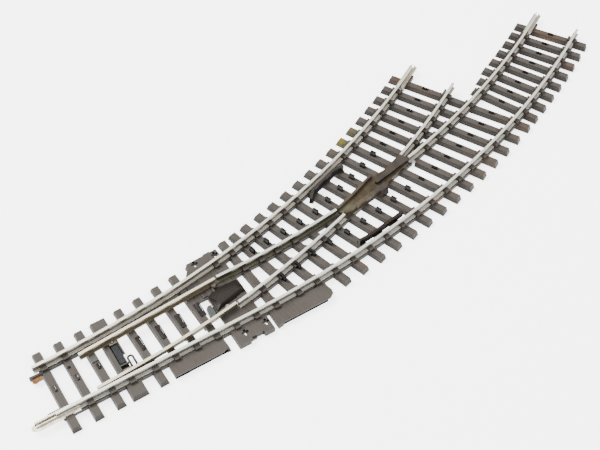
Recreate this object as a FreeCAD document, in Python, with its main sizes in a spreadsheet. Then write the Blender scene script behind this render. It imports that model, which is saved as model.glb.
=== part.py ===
# Model turnout switch for 16.5 mm gauge three-rail track: a curved left-hand turnout.
#
# Frame: +X runs along the entry track away from the entry rail ends, +Y is to the left,
# +Z is up.  The origin is on the underside of the sleeper bed, below the middle of the
# entry rail ends.  Units are millimetres.
#
# The inner (left) route is an arc that starts at x = 0.  The outer (right) route is
# straight as far as x = outer_straight and is then an arc of the same radius.
import FreeCAD, Part
import math
import os

import Sketcher
from FreeCAD import Placement, Rotation, Vector

UP = Vector(0, 0, 1)
INNER = "inner"
OUTER = "outer"
LEFT = 1
RIGHT = -1

# alias, value, meaning
SIZES = (
    # track geometry
    ("route_radius", 360.0, "radius of both routes' centre lines"),
    ("outer_straight", 64.6, "straight length before the outer arc"),
    ("rail_offset", 8.7, "rail centre to route centre: half the gauge plus half a head"),
    ("inner_end", 186.6, "inner route's rail ends, along its centre line"),
    ("outer_end", 248.7, "outer route's rail ends, along its centre line"),
    # rail section
    ("rail_height", 2.5, "foot to top"),
    ("foot_half", 1.05, "half the rail foot"),
    ("web_half", 0.3, "half the web"),
    ("head_half", 0.45, "half the rail head"),
    ("foot_thick", 0.4, "thickness of the foot"),
    ("head_depth", 0.8, "depth of the head"),
    # sleeper bed
    ("bed_height", 2.1, "underside to sleeper tops"),
    ("sleeper_left", 14.05, "route centre to a sleeper's left end, along its top"),
    ("sleeper_right", 14.4, "route centre to a sleeper's right end, along its top"),
    ("sleeper_width", 2.3, "width of a sleeper's top"),
    ("wide_sleeper", 4.65, "width of the top of the sleeper that holds the tie bar"),
    ("sleeper_draft", 0.35, "how much further out a sleeper's sides are at its base"),
    ("end_draft", 0.6, "how much further out a sleeper's ends are at their base"),
    ("rib_half", 1.45, "half the width of the ribs below the rails"),
    ("rib_base", 0.25, "underside of the ribs"),
    ("rib_top", 1.95, "top of the ribs and of the floor round the heels"),
    ("floor_base", 0.8, "underside of that floor"),
    ("chair_length", 1.9, "rail chair, along the rail"),
    ("chair_width", 0.8, "rail chair beyond the rail's foot"),
    ("chair_height", 1.05, "rail chair above the sleeper"),
    ("chair_gap", 0.04, "clearance between a chair and its rail"),
    ("plate_thick", 0.65, "thin slab of the two long side plates"),
    ("plate_wall", 0.1, "underside of the set-back wall below that slab"),
    ("plate_setback", 0.2, "how far that wall is set back"),
    ("fixing_radius", 0.75, "drive fixing hole"),
    ("fixing_cross", 2.3, "length of the cross-shaped recess round it"),
    ("fixing_slot", 0.8, "width of the arms of that cross"),
    ("fixing_depth", 0.9, "depth of that cross"),
    ("fixing_pitch", 7.4, "distance between the two holes of a pair"),
    ("nail_radius", 0.6, "track nail hole"),
    # switch blades
    ("tip_x", 13.5, "blade tips"),
    ("heel_x", 61.7, "blade heels"),
    ("pivot_x", 60.3, "heel pivots"),
    ("pivot_inset", 1.15, "heel pivot to blade centre line"),
    ("pivot_radius", 0.45, "heel pin"),
    ("pivot_head", 0.8, "heel pin's head"),
    ("pivot_gap", 0.05, "running clearance round the pins"),
    ("blade_lift", 0.45, "blade underside above the sleepers, clear of the stock rail feet"),
    ("blade_foot", 0.35, "thickness of a blade's foot"),
    ("blade_shift", 0.3, "how far inside its rail line a closed blade's heel lies"),
    ("closed_turn", 0.8, "lean of a closed blade towards the middle of the track, in degrees"),
    ("planing_gap", 0.25, "least gap between a closed blade and the stock rail's head"),
    ("bar_travel", 1.7, "travel of the tie bar"),
    ("throw_angle", 2.7, "swing of each blade for that travel, in degrees"),
    # tie bar and drive
    ("bar_x", 24.1, "middle of the tie bar"),
    ("bar_width", 2.6, "width of the tie bar's low strip"),
    ("bar_block", 1.95, "width of the tie bar's raised block"),
    ("bar_base", 0.2, "underside of the tie bar and the slider"),
    ("bar_thick", 0.8, "thickness of the tie bar and the slider"),
    ("bar_top", 2.3, "top of the tie bar's raised block"),
    ("pin_inset", 1.2, "tie pin to blade centre line"),
    ("pin_radius", 0.35, "tie pin"),
    ("slot_reach", 0.2, "half the extra length of the blade's slot"),
    ("slider_x", 62.0, "middle of the drive slider"),
    ("slider_width", 2.2, "width of the drive slider"),
    ("slide_gap", 0.08, "clearance on each side of sliding pieces"),
    ("link_radius", 0.35, "link wire"),
    ("cover_top", 3.3, "top of the drive cover"),
    ("cover_wall", 0.5, "wall of the drive cover"),
    ("cover_foot", 0.3, "height of its upright foot"),
    # frog and check rails
    ("closure_start", 62.4, "closure rails start"),
    ("left_closure_end", 111.6, "left closure rail ends, along the outer route"),
    ("right_closure_end", 110.7, "right closure rail ends, along the inner route"),
    ("inner_exit", 144.2, "inner exit rail starts"),
    ("outer_exit", 148.2, "outer exit rail starts"),
    ("flangeway", 2.45, "stock rail centre to check rail centre"),
    ("left_wing", 3.3, "left wing rail to the line of the inner exit rail"),
    ("right_wing", 2.8, "right wing rail to the line of the outer exit rail"),
    ("frog_plate", 0.5, "base plate of the frog"),
    ("frog_floor", 1.2, "top of the frog's floor above the sleepers"),
    ("peg_radius", 0.7, "peg at the frog's rear end"),
    ("peg_top", 0.7, "top of that peg above the sleepers"),
    # rail joiners
    ("joiner_length", 13.3, "length of a rail joiner"),
    ("joiner_half", 1.45, "half the width of a rail joiner"),
    ("joiner_sheet", 0.3, "its sheet thickness"),
    ("joiner_lip", 1.55, "height of its lips above the sleepers"),
)

doc = FreeCAD.newDocument("turnout_switch")
sheet = doc.addObject("Spreadsheet::Sheet", "Sizes")
for row, (alias, number, meaning) in enumerate(SIZES, start=1):
    sheet.set("A%d" % row, str(number))
    sheet.setAlias("A%d" % row, alias)
    sheet.set("B%d" % row, meaning)
doc.recompute()


def value(text):
    """The number that an expression over the sheet stands for."""
    return float(sheet.evalExpression(text))


def size(alias):
    """A driving dimension by its alias."""
    return value("Sizes." + alias)


# ---------------------------------------------------------------- routes
def route_point(route, along, left, height=0.0):
    """The point `along` a route's centre line and `left` of it."""
    straight = 0.0 if route == INNER else size("outer_straight")
    if along < straight:
        return Vector(along, left, height)
    radius = size("route_radius")
    angle = (along - straight) / radius
    reach = radius - left
    return Vector(straight + reach * math.sin(angle), radius - reach * math.cos(angle), height)


def heading(route, along):
    """The direction of a route in degrees from +X."""
    straight = 0.0 if route == INNER else size("outer_straight")
    return math.degrees(max(0.0, along - straight) / size("route_radius"))


def route_offset(route, point):
    """How far along a route a point is, and how far left of it."""
    straight = 0.0 if route == INNER else size("outer_straight")
    if point.x < straight:
        return point.x, point.y
    radius = size("route_radius")
    across = radius - point.y
    ahead = point.x - straight
    return straight + radius * math.atan2(ahead, across), radius - math.hypot(ahead, across)


# ---------------------------------------------------------------- building helpers
def origin_plane(body, role):
    """A body's own origin plane."""
    for feature in body.Origin.OriginFeatures:
        if feature.Role == role:
            return feature
    raise ValueError(role)


def outline_sketch(body, name, role, corners):
    """A closed outline; each corner is a pair of expressions over the sheet."""
    sketch = body.newObject("Sketcher::SketchObject", name)
    sketch.AttachmentSupport = (origin_plane(body, role), [""])
    sketch.MapMode = "FlatFace"
    spots = [Vector(value(across), value(up), 0) for across, up in corners]
    count = len(spots)
    for index in range(count):
        sketch.addGeometry(Part.LineSegment(spots[index], spots[(index + 1) % count]))
    for index in range(count):
        sketch.addConstraint(Sketcher.Constraint("Coincident", index, 2, (index + 1) % count, 1))
    for index, (across, up) in enumerate(corners):
        for kind, text, number in (("DistanceX", across, spots[index].x), ("DistanceY", up, spots[index].y)):
            if abs(number) < 1e-9:
                axis = -2 if kind == "DistanceX" else -1
                sketch.addConstraint(Sketcher.Constraint("PointOnObject", index, 1, axis))
                continue
            rule = sketch.addConstraint(Sketcher.Constraint(kind, -1, 1, index, 1, number))
            sketch.setExpression("Constraints[%d]" % rule, text)
    return sketch


def block(name, length, width, height, corner, turn=0.0):
    """A box whose three sizes are expressions, turned about its corner."""
    box = doc.addObject("Part::Box", name)
    box.setExpression("Length", length)
    box.setExpression("Width", width)
    box.setExpression("Height", height)
    box.Placement = Placement(corner, Rotation(UP, turn))
    return box


def post(name, radius, height, foot):
    """An upright cylinder whose radius and height are expressions."""
    cylinder = doc.addObject("Part::Cylinder", name)
    cylinder.setExpression("Radius", radius)
    cylinder.setExpression("Height", height)
    cylinder.Placement = Placement(foot, Rotation())
    return cylinder


def joined(name, pieces):
    """One solid from overlapping or touching pieces, or a group of separate ones."""
    fuse = doc.addObject("Part::MultiFuse", name)
    fuse.Shapes = pieces
    fuse.Refine = True
    return fuse


def without(name, base, tool):
    """The base with the tool cut away."""
    cut = doc.addObject("Part::Cut", name)
    cut.Base = base
    cut.Tool = tool
    return cut


def feature(name, shape):
    """A piece whose shape is worked out here from the sheet's sizes."""
    item = doc.addObject("Part::Feature", name)
    item.Shape = shape
    item.Placement = Placement()
    return item


def slab(corners, base, top):
    """A flat plate with straight edges between two heights."""
    loop = [Vector(corner[0], corner[1], base) for corner in corners]
    face = Part.Face(Part.makePolygon(loop + [loop[0]]))
    return face.extrude(UP * (top - base))


def strip(spine, half, base, top):
    """An upright strip of even width along a line of points."""
    left_edge = []
    right_edge = []
    for index, spot in enumerate(spine):
        before = spine[max(index - 1, 0)]
        after = spine[min(index + 1, len(spine) - 1)]
        side = UP.cross(after - before)
        side.normalize()
        left_edge.append(spot + side * half)
        right_edge.append(spot - side * half)
    return slab(left_edge + right_edge[::-1], base, top)


def bar_between(start, end, width, base, top):
    """A straight bar from one point to another."""
    return strip([start, end], width / 2, base, top)


# Heights as expressions over the sheet.
SLEEPER_TOP = "Sizes.bed_height"
FOOT_TOP = "Sizes.bed_height + Sizes.foot_thick"
HEAD_BASE = "Sizes.bed_height + Sizes.rail_height - Sizes.head_depth"
RAIL_TOP = "Sizes.bed_height + Sizes.rail_height"
BLADE_BASE = "Sizes.bed_height + Sizes.blade_lift"
BLADE_FOOT_TOP = "Sizes.bed_height + Sizes.blade_lift + Sizes.blade_foot"


# ---------------------------------------------------------------- rails
def rail_outline():
    """The rail section: foot, web and head, centred on its own upright axis."""
    half = [
        ("Sizes.foot_half", SLEEPER_TOP),
        ("Sizes.foot_half", FOOT_TOP),
        ("Sizes.web_half", FOOT_TOP),
        ("Sizes.web_half", HEAD_BASE),
        ("Sizes.head_half", HEAD_BASE),
        ("Sizes.head_half", RAIL_TOP),
    ]
    return half + [("-" + across, up) for across, up in reversed(half)]


def blade_outline(inside):
    """The blade section: its foot reaches only towards the middle of the track."""
    inner = "" if inside == RIGHT else "-"
    outer = "-" if inside == RIGHT else ""
    return [
        (outer + "Sizes.web_half", BLADE_BASE),
        (inner + "Sizes.foot_half", BLADE_BASE),
        (inner + "Sizes.foot_half", BLADE_FOOT_TOP),
        (inner + "Sizes.web_half", BLADE_FOOT_TOP),
        (inner + "Sizes.web_half", HEAD_BASE),
        (inner + "Sizes.head_half", HEAD_BASE),
        (inner + "Sizes.head_half", RAIL_TOP),
        (outer + "Sizes.head_half", RAIL_TOP),
        (outer + "Sizes.head_half", HEAD_BASE),
        (outer + "Sizes.web_half", HEAD_BASE),
    ]


def rail_body(name, outline, route, left, start, end):
    """A rail along a route: a straight pad as far as the arc, then a revolved arc.

    The section stands on the body's XZ plane with the route's centre of curvature on
    its -X side, and the body is turned so that the rail runs along its route.
    """
    body = doc.addObject("PartDesign::Body", name)
    sketch = outline_sketch(body, name + "_section", "XZ_Plane", outline)
    straight = 0.0 if route == INNER else size("outer_straight")
    arc_start = max(value(start), straight)
    if value(start) < arc_start:
        pad = body.newObject("PartDesign::Pad", name + "_straight")
        pad.Profile = sketch
        pad.setExpression("Length", "min(Sizes.outer_straight; %s) - %s" % (end, start))
    if value(end) > arc_start:
        axis = sketch.addGeometry(Part.LineSegment(Vector(-1, 0, 0), Vector(-1, 1, 0)), True)
        sketch.addConstraint(Sketcher.Constraint("Vertical", axis))
        reach = "Sizes.route_radius %s Sizes.rail_offset" % ("+" if left == RIGHT else "-")
        rule = sketch.addConstraint(Sketcher.Constraint("DistanceX", -1, 1, axis, 1, -value(reach)))
        sketch.setExpression("Constraints[%d]" % rule, "-(%s)" % reach)
        sketch.addConstraint(Sketcher.Constraint("PointOnObject", axis, 1, -1))
        sketch.addConstraint(Sketcher.Constraint("DistanceY", axis, 1, axis, 2, 1.0))
        turned = body.newObject("PartDesign::Revolution", name + "_arc")
        turned.Profile = sketch
        turned.ReferenceAxis = (sketch, ["Axis0"])
        begin = "Sizes.outer_straight" if value(start) < arc_start else start
        turned.setExpression("Angle", "(%s - %s) / Sizes.route_radius * 180 / pi" % (end, begin))
    origin = min(arc_start, value(end))
    spot = route_point(route, origin, left * size("rail_offset"))
    body.Placement = Placement(spot, Rotation(UP, heading(route, origin) - 90))
    return body


def running_rails():
    """Stock, closure and exit rails: node name, route, side, start and end."""
    rails = (
        ("left_stock_rail", INNER, LEFT, "0", "Sizes.inner_end"),
        ("right_stock_rail", OUTER, RIGHT, "0", "Sizes.outer_end"),
        ("left_closure_rail", OUTER, LEFT, "Sizes.closure_start", "Sizes.left_closure_end"),
        ("right_closure_rail", INNER, RIGHT, "Sizes.closure_start", "Sizes.right_closure_end"),
        ("inner_exit_rail", INNER, RIGHT, "Sizes.inner_exit", "Sizes.inner_end"),
        ("outer_exit_rail", OUTER, LEFT, "Sizes.outer_exit", "Sizes.outer_end"),
    )
    return [
        rail_body(name, rail_outline(), route, side, start, end)
        for name, route, side, start, end in rails
    ]


def rail_line(side, distance_x):
    """The y of the rail line that a blade belongs to."""
    if side == LEFT:
        return size("rail_offset")
    reach = size("route_radius") + size("rail_offset")
    return size("route_radius") - math.sqrt(reach ** 2 - distance_x ** 2)


def blade_line(side, distance_x):
    """The y of a closed blade's centre line: shifted and leaning inwards from its rail line."""
    lean = math.tan(math.radians(size("closed_turn")))
    inward = size("blade_shift") + (size("pivot_x") - distance_x) * lean
    return rail_line(side, distance_x) - side * inward


def pivot_spot(side):
    """The heel pivot's place in plan."""
    return Vector(size("pivot_x"), blade_line(side, size("pivot_x")) - side * size("pivot_inset"), 0)


def tie_pin_spot(side):
    """A tie pin's place in plan when its blade is closed."""
    return Vector(size("bar_x"), blade_line(side, size("bar_x")) - side * size("pin_inset"), 0)


def blade(name, side):
    """A switch blade: planed at its tip, with a slotted lug for the tie pin and a heel lug."""
    route = OUTER if side == LEFT else INNER
    blank = rail_body(name + "_blank", blade_outline(-side), route, side, "Sizes.tip_x", "Sizes.heel_x")
    shift = Vector(0, -side * size("blade_shift"), 0)
    heel = Vector(size("pivot_x"), rail_line(side, size("pivot_x")), 0)
    lean = Placement(shift, Rotation(UP, side * size("closed_turn")), heel)
    blank.Placement = lean.multiply(blank.Placement)
    base = value(BLADE_BASE)
    pivot = pivot_spot(side) + UP * base
    pin = tie_pin_spot(side) + UP * base
    lug = post(name + "_lug", "2 * Sizes.pivot_radius", "Sizes.blade_foot", pivot)
    web_reach = "Sizes.pivot_inset - Sizes.web_half"
    web_side = 0.0 if side == LEFT else -value(web_reach)
    heel_web = block(
        name + "_heel_web", "4 * Sizes.pivot_radius", web_reach, "Sizes.blade_foot",
        pivot + Vector(-2 * size("pivot_radius"), web_side, 0))
    ear_reach = "Sizes.pin_inset + 2 * Sizes.pin_radius - Sizes.web_half"
    far_side = 2 * size("pin_radius")
    ear_side = -far_side if side == LEFT else far_side - value(ear_reach)
    ear = block(
        name + "_ear", "7 * Sizes.pin_radius", ear_reach, "Sizes.blade_foot",
        pin + Vector(-3.5 * size("pin_radius"), ear_side, 0))
    whole = joined(name + "_whole", [blank, lug, heel_web, ear])
    deep = "Sizes.blade_foot + 2 * Sizes.blade_lift"
    below = Vector(0, 0, -size("blade_lift"))
    cutters = [post(name + "_eye", "Sizes.pivot_radius + Sizes.pivot_gap", deep, pivot + below)]
    # The pin works along the slot as the blade swings.
    centre = pin + below + Vector(-0.03 if side == LEFT else 0.07, 0, 0)
    reach = size("slot_reach")
    slot_radius = "Sizes.pin_radius + Sizes.pivot_gap + 0.03"
    for end, shift in (("near", -reach), ("far", reach)):
        cutters.append(post("%s_slot_%s" % (name, end), slot_radius, deep, centre + Vector(shift, 0, 0)))
    cutters.append(block(
        name + "_slot", "2 * Sizes.slot_reach", "2 * (%s)" % slot_radius, deep,
        centre + Vector(-reach, -value(slot_radius), 0)))
    # Planing: the closed blade's tip lies just clear of the stock rail's head.
    plane = "Sizes.head_half + Sizes.planing_gap"
    if side == LEFT:
        cutters.append(post(
            name + "_planing", "Sizes.route_radius - Sizes.rail_offset + %s" % plane, RAIL_TOP + " + 1",
            Vector(0, size("route_radius"), 0)))
    else:
        cutters.append(block(
            name + "_planing", "Sizes.heel_x", "Sizes.rail_offset", RAIL_TOP + " + 1",
            Vector(0, -2 * size("rail_offset") + value(plane), 0)))
    ready = without(name, whole, joined(name + "_cutters", cutters))
    if side == LEFT:
        # At rest the left blade stands open.
        ready.Placement = Placement(Vector(), Rotation(UP, size("throw_angle")), pivot_spot(side))
    return ready


def heel_pins():
    """The two pins that the blades swing on, pressed into the bed."""
    foot = value("Sizes.bar_base + Sizes.bar_thick") + 3 * size("slide_gap")
    lug_top = value(BLADE_FOOT_TOP) + size("slide_gap")
    pieces = []
    for side, word in ((LEFT, "left"), (RIGHT, "right")):
        spot = pivot_spot(side)
        shaft_height = "%f" % (lug_top - foot)
        pieces.append(post(word + "_heel_shaft", "Sizes.pivot_radius", shaft_height, spot + UP * foot))
        pieces.append(post(word + "_heel_head", "Sizes.pivot_head", "Sizes.foot_thick", spot + UP * lug_top))
    return joined("heel_pins", pieces)


# ---------------------------------------------------------------- sleeper positions
def stations():
    """Each sleeper's ends: the left one on a route's left side, the right one on the outer route.

    Along the entry they stand square to the track.  From the heels to the end of the
    inner route they are long and span both routes, and beyond that they are single.
    """
    rows = []
    for index in range(11):
        rows.append((INNER, 3.25 + 7.17 * index, 3.45 + 7.03 * index))
    rows[TIE_BAR_SLEEPER] = (INNER, 24.5, 23.75)
    rows.append((INNER, 79.75, 82.7))
    for index in range(15):
        rows.append((INNER, 85.2 + 6.77 * index, 90.0 + 7.28 * index))
    for index in range(8):
        rows.append((OUTER, 196.25 + 6.5 * index, 197.65 + 6.63 * index))
    return rows


TIE_BAR_SLEEPER = 3
FIRST_ROUTE_STUD = 11
FIRST_SINGLE = 27


def sleeper_ends(index):
    """The two end points of a sleeper."""
    route, left_along, right_along = stations()[index]
    # The first single sleepers are cut short beside the inner route.
    short = max(0.0, 2.4 - 1.2 * (index - FIRST_SINGLE)) if index >= FIRST_SINGLE else 0.0
    left_end = route_point(route, left_along, size("sleeper_left") - short)
    return left_end, route_point(OUTER, right_along, -size("sleeper_right"))


def sleeper(index):
    """One sleeper: its sides and ends slope outwards towards the base."""
    start, end = sleeper_ends(index)
    half = size("wide_sleeper" if index == TIE_BAR_SLEEPER else "sleeper_width") / 2
    along = (end - start).normalize()
    across = UP.cross(along)
    levels = ((0.0, size("sleeper_draft"), size("end_draft")), (size("bed_height"), 0.0, 0.0))
    loops = []
    for height, wider, longer in levels:
        near = start - along * longer + UP * height
        far = end + along * longer + UP * height
        side = across * (half + wider)
        loops.append(Part.makePolygon([near + side, far + side, far - side, near - side, near + side]))
    return Part.makeLoft(loops, True, True)


def crossing(index, route, left):
    """Where a sleeper's centre line crosses a rail line."""
    start, end = sleeper_ends(index)
    low = 0.0
    high = 1.0
    for _ in range(40):
        middle = (low + high) / 2
        if route_offset(route, start + (end - start) * middle)[1] > left:
            low = middle
        else:
            high = middle
    return start + (end - start) * low


# Rail lines with chairs: route, side, first and last station, and the stations between
# which there are none on the rail's track side.
CHAIR_LINES = (
    (INNER, LEFT, 0, 175, ((14, 62), (106, 130))),
    (OUTER, RIGHT, 8, 248, ((14, 62), (107, 130))),
    (OUTER, LEFT, 68, 107, ((99, 112),)),
    (INNER, RIGHT, 68, 107, ((99, 112),)),
    (INNER, RIGHT, 148, 186, ()),
    (OUTER, LEFT, 152, 238, ()),
)


def chairs(index):
    """The small chairs that hold the rails on one sleeper and reach over their feet."""
    blocks = []
    gap = size("chair_gap")
    half = size("chair_length") / 2
    top = size("bed_height") + size("chair_height")
    outer_edge = size("foot_half") + gap + size("chair_width")
    # A post beside the foot and a claw over it: the inner edge and the underside of each.
    bars = (
        (size("foot_half") + gap, size("bed_height") - 0.2),
        (size("web_half") + gap, size("bed_height") + size("foot_thick") + gap),
    )
    for route, side, first, last, bare in CHAIR_LINES:
        spot = crossing(index, route, side * size("rail_offset"))
        along = route_offset(route, spot)[0]
        if not first <= along <= last or (route == INNER and index >= FIRST_SINGLE):
            continue
        for outward in (1, -1):
            if outward < 0 and any(begin < along < end for begin, end in bare):
                continue
            for inner_edge, base in bars:
                reach = (inner_edge + outer_edge) / 2
                centre = side * (size("rail_offset") + outward * reach)
                ends = [route_point(route, along + shift, centre) for shift in (-half, half)]
                blocks.append(bar_between(ends[0], ends[1], outer_edge - inner_edge, base, top))
    return blocks


# ---------------------------------------------------------------- centre studs
def stud_row(places, half_along):
    """Upright contact studs: a point, a turn, half a width and a height above the sleeper each."""
    solids = []
    root = 1.2
    for spot, turn, half_across, height in places:
        stud = Part.makeBox(2 * half_along, 2 * half_across, height + root)
        stud.translate(Vector(-half_along, -half_across, size("bed_height") - root))
        stud.rotate(Vector(), UP, turn)
        stud.translate(spot)
        solids.append(stud)
    return solids


def sleeper_turn(index):
    """The direction across a sleeper in degrees from +X."""
    start, end = sleeper_ends(index)
    return math.degrees(math.atan2(end.y - start.y, end.x - start.x)) + 90


def entry_stud_shapes():
    """Long narrow studs of the common track, nearly flush with the sleepers."""
    places = []
    for index in (0, 1, 2, 4, 5, 6, 7):
        middle = (crossing(index, INNER, 0.0) + crossing(index, OUTER, 0.0)) * 0.5
        half_across = 1.0 if index < TIE_BAR_SLEEPER else 2.6
        places.append((middle, sleeper_turn(index), half_across, 0.35))
    return stud_row(places, 0.35)


def route_stud_shapes(route, last, tall_to, aside):
    """A route's studs: tall where a shoe must be lifted over the frog, low elsewhere.

    The first ones stand aside of the centre line, clear of the other route's rail.
    """
    places = []
    for index in range(FIRST_ROUTE_STUD, last + 1):
        spot = crossing(index, route, aside.get(index, 0.0))
        places.append((spot, sleeper_turn(index), 1.05, 2.1 if index <= tall_to else 0.7))
    return stud_row(places, 0.4)


# ---------------------------------------------------------------- the sleeper bed
def rib(route, side, start, end):
    """A longitudinal rib of the bed below a rail."""
    middle = side * size("rail_offset")
    half = size("rib_half")
    straight = 0.0 if route == INNER else size("outer_straight")
    pieces = []
    if start < straight:
        stop = min(end, straight)
        box = Part.makeBox(stop - start, 2 * half, size("rib_top") - size("rib_base"))
        box.translate(Vector(start, middle - half, size("rib_base")))
        pieces.append(box)
    if end > straight:
        begin = max(start, straight)
        near = route_point(route, begin, middle + half)
        far = route_point(route, begin, middle - half)
        corners = [
            near + UP * size("rib_base"),
            far + UP * size("rib_base"),
            far + UP * size("rib_top"),
            near + UP * size("rib_top"),
        ]
        face = Part.Face(Part.makePolygon(corners + [corners[0]]))
        sweep = math.degrees((end - begin) / size("route_radius"))
        pieces.append(face.revolve(Vector(straight, size("route_radius"), 0), UP, sweep))
    return pieces


def side_plates():
    """The flat plates beside the switch that a drive is fastened to."""
    top = size("bed_height")
    thin = top - size("plate_thick")
    thick_wall = size("plate_wall")
    inner_y = -10.0
    left_plate = slab([(56.3, 13.4), (57.0, 19.4), (68.2, 20.0), (68.6, 15.2)], 0.0, top)
    fixing_plate = slab([(56.7, inner_y), (56.7, -16.0), (69.2, -16.0), (69.2, inner_y)], 0.0, top)
    notch = slab([(61.4, -14.9), (61.4, -17.0), (65.7, -17.0), (65.7, -14.9)], -1.0, top + 1)
    pieces = [left_plate, fixing_plate.cut(notch)]
    for start, end, edge in ((35.2, 53.2, -15.0), (70.6, 91.6, -15.6)):
        back = edge + size("plate_setback")
        lip = [(start, inner_y), (start, edge), (end - 1.5, edge), (end, edge + 1), (end, inner_y)]
        pieces.append(slab(lip, thin, top))
        wall = [(start, inner_y), (start, back), (end - 2.2, back), (end - 0.7, inner_y)]
        pieces.append(slab(wall, thick_wall, thin))
    # The left end of the long rear plate is a full-height corner.
    pieces.append(slab([(70.6, inner_y), (70.6, -15.9), (72.6, -15.6), (72.6, inner_y)], 0.0, top))
    return pieces


def heel_floor():
    """The floor round the blade heels, which joins the plates of both sides."""
    right_part = [(56.7, -14.0), (68.5, -14.0), (68.5, 4.6), (56.7, 4.6)]
    left_part = [(68.5, 4.6), (68.4, 18.5), (56.4, 17.5), (53.0, 13.0), (53.0, 4.6)]
    floor = [slab(outline, size("floor_base"), size("rib_top")) for outline in (right_part, left_part)]
    return floor[0].fuse(floor[1])


def end_lugs():
    """Short lugs beside the rail ends that carry the neighbouring track's joiners."""
    spots = (
        (INNER, LEFT, -1.9, 2.4),
        (OUTER, RIGHT, -1.9, 2.4),
        (INNER, LEFT, 179.5, 184.9),
        (INNER, RIGHT, 179.8, 184.4),
        (OUTER, LEFT, 241.8, 246.4),
        (OUTER, RIGHT, 242.8, 246.0),
    )
    width = 0.7
    pieces = []
    for route, side, start, end in spots:
        beside = side * (size("rail_offset") - 1.75)
        centre = [route_point(route, max(start, 0.0), beside), route_point(route, end, beside)]
        if start < 0:
            centre[0] = Vector(start, beside, 0)
        pieces.append(bar_between(centre[0], centre[1], width, 0.6, size("bed_height") + 0.25))
    return pieces


def fixing_spots():
    """The four drive fixing holes: two in each side's plate."""
    middle = 64.2
    half = size("fixing_pitch") / 2
    right_pair = [Vector(middle + shift, -12.5, 0) for shift in (-half, half)]
    left_pair = [Vector(middle - 1.0 + shift, 18.2, 0) for shift in (-half, half)]
    return right_pair + left_pair


def rectangle(left, right, near, far):
    """The corners of a rectangle in plan: its x range, then its y range."""
    return [(left, near), (right, near), (right, far), (left, far)]


def bed_hollows():
    """Everything that is cut out of the bed."""
    gap = size("slide_gap")
    travel = size("bar_travel")
    ceiling = size("bar_base") + size("bar_thick") + 2 * gap
    over = size("bed_height") + 1
    plate_underside = size("bed_height") - size("plate_thick")
    bar_half = size("bar_width") / 2 + gap
    bar_left = size("bar_x") - bar_half
    bar_right = size("bar_x") + bar_half
    slider_left = size("slider_x") - size("slider_width") / 2 - gap
    slider_right = size("slider_x") + size("slider_width") / 2 + gap
    hollows = [
        # tie bar: an open slot for its raised block, a channel for its ends, and room for its pins
        slab(rectangle(bar_left, bar_right, -2.95, 4.7 + travel), -1, over),
        slab(rectangle(bar_left, bar_right, -8.8, 6.6 + travel), -1, ceiling),
        slab(rectangle(bar_left, bar_right, 3.8, 8.2), -1, over),
        slab(rectangle(bar_left, bar_right, -7.2, -3.4), -1, over),
        # drive slider: a channel across the track, and the space of its arm and its tab
        slab(rectangle(slider_left, slider_right, -17.0, 1.4 + travel), -1, ceiling),
        slab(rectangle(54.2, slider_right, -1.9, 1.4 + travel), -1, ceiling),
        slab(rectangle(53.9, 56.6, -2.6, 2.0 + travel), -1, over),
        # link wire: an open pocket for its hairpin and a channel below the right stock rail
        slab(rectangle(bar_right, 28.2, -6.9, -0.7 + travel), -1, over),
        slab(rectangle(bar_right - gap, slider_left + gap, -9.45, -6.35 + travel), -1, ceiling),
        # the sleepers stop at the set-back wall of the front side plate
        slab(rectangle(35.2, 53.2, -17.0, -15.0 + size("plate_setback")), -1, plate_underside),
        # seat of the drive cover
        slab(nearer(COVER_BASE, -0.05), size("rib_top"), over + 1),
        Part.makeCylinder(size("nail_radius"), over + 1, Vector(9.6, 4.3, -1)),
    ]
    arm = size("fixing_cross") / 2
    wide = size("fixing_slot") / 2
    cross_floor = size("bed_height") - size("fixing_depth")
    for spot in fixing_spots():
        hollows.append(Part.makeCylinder(size("fixing_radius"), over + 1, spot - UP))
        for reach, half in ((arm, wide), (wide, arm)):
            corners = rectangle(spot.x - reach, spot.x + reach, spot.y - half, spot.y + half)
            hollows.append(slab(corners, cross_floor, over))
    return hollows


def sleeper_bed(fitted):
    """The moulded bed: sleepers, chairs, ribs and plates, with seats for the fitted pieces."""
    solids = []
    for index in range(len(stations())):
        solids.append(sleeper(index).multiFuse(chairs(index)))
    solids += rib(INNER, LEFT, 1.5, 181.5)
    solids += rib(OUTER, RIGHT, 1.5, 244.5)
    solids += rib(OUTER, LEFT, 58.0, 242.5)
    solids += rib(INNER, RIGHT, 58.0, 182.5)
    solids += side_plates()
    solids.append(heel_floor())
    solids += end_lugs()
    whole = solids[0].multiFuse(solids[1:])
    whole = whole.cut(bed_hollows())
    whole = whole.cut(fitted)
    return feature("sleeper_bed", whole)


# ---------------------------------------------------------------- tie bar and drive
def tie_bar():
    """The bar that holds both blade tips apart: a low strip with a raised block on it."""
    corner = Vector(size("bar_x") - size("bar_width") / 2, -8.6, size("bar_base"))
    low = block("tie_bar_strip", "Sizes.bar_width", "15", "Sizes.bar_thick", corner)
    rise = Vector((size("bar_width") - size("bar_block")) / 2, 5.8, size("bar_thick"))
    block_height = "Sizes.bar_top - Sizes.bar_base - Sizes.bar_thick"
    high = block("tie_bar_block", "Sizes.bar_block", "7.4", block_height, corner + rise)
    return joined("tie_bar", [low, high])


def tie_pins():
    """The two pins on the tie bar that work in the blades' slots."""
    foot = size("bar_base") + size("bar_thick")
    height = "%s + %s - %f" % (BLADE_FOOT_TOP, "0.25", foot)
    left = tie_pin_spot(LEFT) + Vector(0, -size("bar_travel"), foot)
    right = tie_pin_spot(RIGHT) + UP * foot
    return joined("tie_pins", [
        post("left_tie_pin", "Sizes.pin_radius", height, left),
        post("right_tie_pin", "Sizes.pin_radius", height, right),
    ])


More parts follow.
